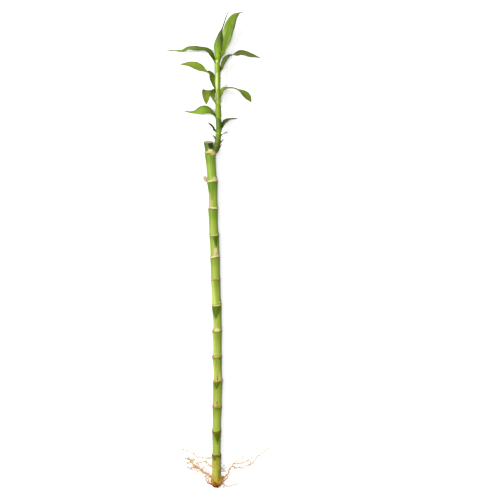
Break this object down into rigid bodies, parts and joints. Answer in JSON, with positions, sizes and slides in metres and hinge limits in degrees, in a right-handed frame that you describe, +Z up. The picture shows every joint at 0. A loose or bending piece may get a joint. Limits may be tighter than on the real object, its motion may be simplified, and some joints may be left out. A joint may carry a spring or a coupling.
{
  "type": "lucky bamboo stalk",
  "caption": "Cut and rooted stalk of lucky bamboo lying down: ringed green cane, leafy side shoot and a tangle of orange roots.",
  "frame": {"origin": "on the surface that the stalk lies on, under the middle of its bounding box", "axes": "+Y along the cane from its roots to its shoot, +X to its right as seen from above, +Z up"},
  "size_m": [0.1319, 0.5936, 0.0325],
  "materials": {
    "cane_skin": "satin",
    "stem_skin": "satin",
    "green_leaf": "satin",
    "pale_leaf": "satin",
    "dry_scale": "matte",
    "root_brown": "matte",
    "root_orange": "matte"
  },
  "bodies": {
    "root": {"cane": "cane_skin", "shoot_stem": "stem_skin", "leaf_01_scale": "dry_scale", "leaf_02_scale": "dry_scale", "leaf_03_scale": "dry_scale", "leaf_04_scale": "dry_scale", "leaf_05_small_left": "green_leaf", "leaf_06_small_right": "green_leaf", "leaf_07_broad_left": "green_leaf", "leaf_08_folded_left": "green_leaf", "leaf_09_hanging_right": "green_leaf", "leaf_10_twisted_left": "pale_leaf", "leaf_11_twisted_right": "pale_leaf", "leaf_12_long_left": "green_leaf", "leaf_13_broad_top": "green_leaf", "leaf_14_furled_top": "green_leaf", "root_crown": "root_brown", "root_01_left_long": "root_orange", "root_02_left_upper": "root_orange", "root_03_left_loop": "root_orange", "root_04_right_long": "root_orange", "root_05_right_small": "root_orange", "root_06_foot_right": "root_orange"}
  },
  "joints": []
}
